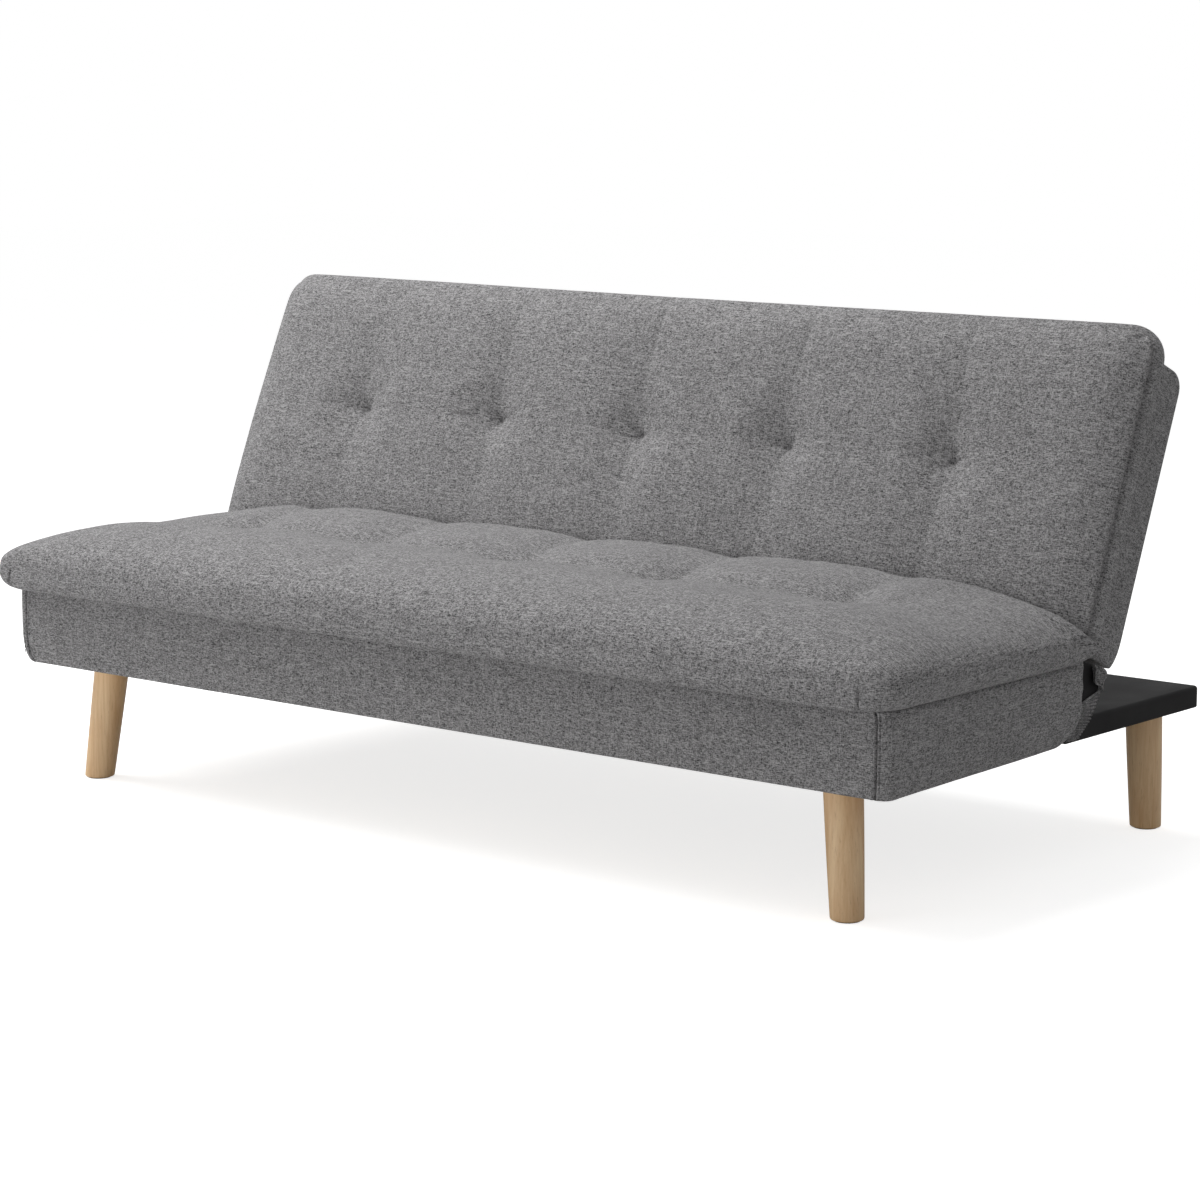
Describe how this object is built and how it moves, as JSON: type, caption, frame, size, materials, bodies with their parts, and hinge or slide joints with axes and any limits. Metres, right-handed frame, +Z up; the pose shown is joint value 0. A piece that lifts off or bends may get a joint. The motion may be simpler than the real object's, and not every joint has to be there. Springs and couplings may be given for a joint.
{
  "type": "click clack sofa bed",
  "caption": "Armless three-seat sofa bed with tufted grey cloth cushions, splayed wooden legs and a backrest that folds down flat on click clack hinges.",
  "frame": {"origin": "on the floor, under the middle of the sofa's bounding box in its sofa position", "axes": "+X along the sofa to its right-hand end in the picture, +Y from the front to the rear, +Z up"},
  "size_m": [1.812, 0.913, 0.8001],
  "materials": {
    "grey_cloth": "matte",
    "black_cloth": "matte",
    "leg_wood": "satin",
    "timber": "matte",
    "steel": "satin",
    "zinc": "satin",
    "glide": "matte"
  },
  "bodies": {
    "base": {"base_front_rail": "timber", "base_rear_rail": "timber", "base_right_rail": "timber", "base_left_rail": "timber", "base_centre_rail": "timber", "base_cover": "black_cloth", "leg_front_left": "leg_wood", "leg_plate_front_left": "steel", "glide_front_left": "glide", "leg_front_right": "leg_wood", "leg_plate_front_right": "steel", "glide_front_right": "glide", "leg_rear_left": "leg_wood", "leg_plate_rear_left": "steel", "glide_rear_left": "glide", "leg_rear_right": "leg_wood", "leg_plate_rear_right": "steel", "glide_rear_right": "glide", "seat_box_cover": "grey_cloth", "seat_front_rail": "timber", "seat_right_rail": "timber", "seat_left_rail": "timber", "seat_rear_rail": "timber", "seat_cross_rail_right": "timber", "seat_cross_rail_left": "timber", "seat_slat_1": "timber", "seat_slat_2": "timber", "seat_slat_3": "timber", "seat_slat_4": "timber", "seat_slat_5": "timber", "seat_deck": "black_cloth", "seat_cushion": "grey_cloth", "hinge_hem_right": "grey_cloth", "hinge_hem_left": "grey_cloth", "seat_bracket_right": "steel", "seat_bracket_left": "steel", "pivot_bolt_right": "zinc", "pivot_bolt_left": "zinc", "pivot_nut_right": "zinc", "pivot_nut_left": "zinc", "pawl_pin_right": "zinc", "pawl_pin_left": "zinc", "pawl_spring_right": "zinc", "pawl_spring_left": "zinc"},
    "backrest": {"back_cover": "grey_cloth", "back_top_rail": "timber", "back_bottom_rail": "timber", "back_stile_right": "timber", "back_stile_left": "timber", "back_mid_stile_right": "timber", "back_mid_stile_left": "timber", "back_slat_1": "timber", "back_slat_2": "timber", "back_slat_3": "timber", "back_cushion": "grey_cloth", "back_bracket_right": "steel", "back_bracket_left": "steel"},
    "pawl_left": {"pawl_left": "steel"},
    "pawl_right": {"pawl_right": "steel"}
  },
  "joints": [
    {"name": "back_recline", "type": "hinge", "parent": "base", "child": "backrest", "pos_m": [0, 0.1415, 0.335], "axis": [1, 0, 0], "range_deg": [-67.15, 5]},
    {"name": "pawl_lift_left", "type": "hinge", "parent": "base", "child": "pawl_left", "pos_m": [-0.8274, 0.1247, 0.29542], "axis": [1, 0, 0], "range_deg": [-6.4, 0], "stiffness_Nm_per_rad": 0.2},
    {"name": "pawl_lift_right", "type": "hinge", "parent": "base", "child": "pawl_right", "pos_m": [0.8274, 0.1247, 0.29542], "axis": [1, 0, 0], "range_deg": [-6.4, 0], "stiffness_Nm_per_rad": 0.2}
  ]
}
